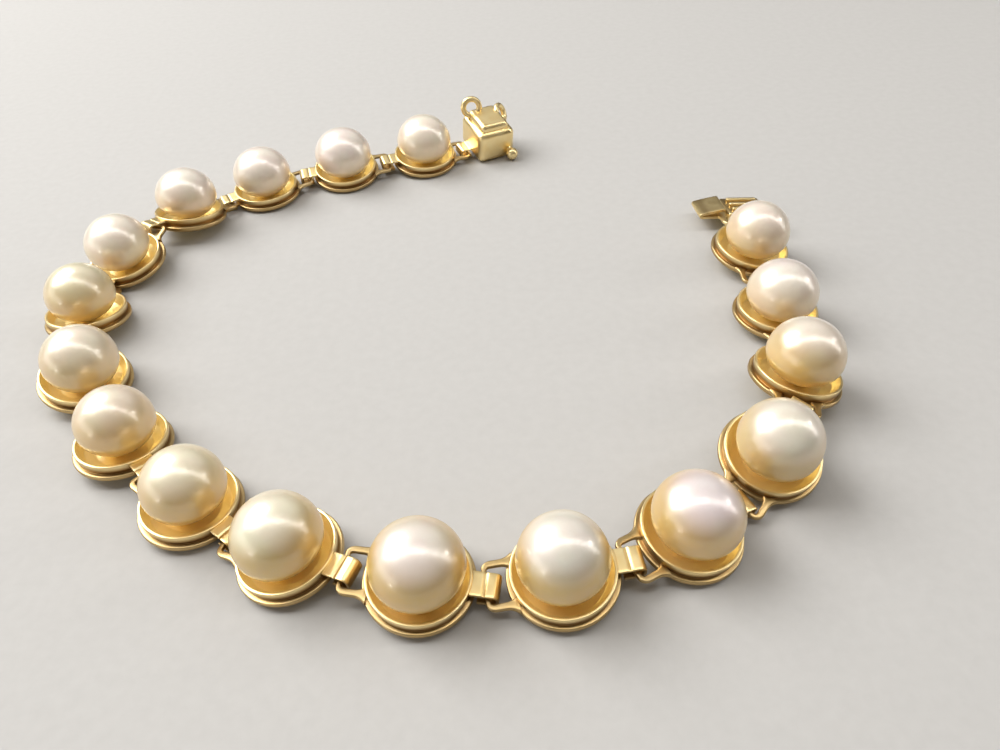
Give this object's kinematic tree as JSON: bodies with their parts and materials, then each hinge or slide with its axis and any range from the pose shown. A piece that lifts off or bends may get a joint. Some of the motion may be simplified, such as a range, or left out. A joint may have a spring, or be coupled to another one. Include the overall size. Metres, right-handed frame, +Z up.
{
  "type": "pearl bracelet",
  "caption": "Open bracelet of button pearls seated in round gold cup links joined by folded strips and loops, with a box clasp and spring tongue.",
  "frame": {"origin": "middle of the whole box, on the surface that the bracelet lies on", "axes": "+Z up, away from the surface; +Y from the row of links nearest the picture's camera towards the clasp box; +X to the camera's right"},
  "size_m": [0.0858, 0.0828, 0.0085],
  "materials": {
    "pearl": "pearly, cream white with faint pink and green overtones",
    "gold": "polished pale yellow gold with fine wear"
  },
  "bodies": {
    "root": {"pearl_01": "pearl", "pearl_02": "pearl", "pearl_03": "pearl", "pearl_04": "pearl", "pearl_05": "pearl", "pearl_06": "pearl", "pearl_07": "pearl", "pearl_08": "pearl", "pearl_09": "pearl", "pearl_10": "pearl", "pearl_11": "pearl", "pearl_12": "pearl", "pearl_13": "pearl", "pearl_14": "pearl", "pearl_15": "pearl", "pearl_16": "pearl", "pearl_17": "pearl", "link_01": "gold", "link_02": "gold", "link_03": "gold", "link_04": "gold", "link_05": "gold", "link_06": "gold", "link_07": "gold", "link_08": "gold", "link_09": "gold", "link_10": "gold", "link_11": "gold", "link_12": "gold", "link_13": "gold", "link_14": "gold", "link_15": "gold", "link_16": "gold", "link_17": "gold", "clasp_box": "gold", "clasp_tongue": "gold"}
  },
  "joints": []
}
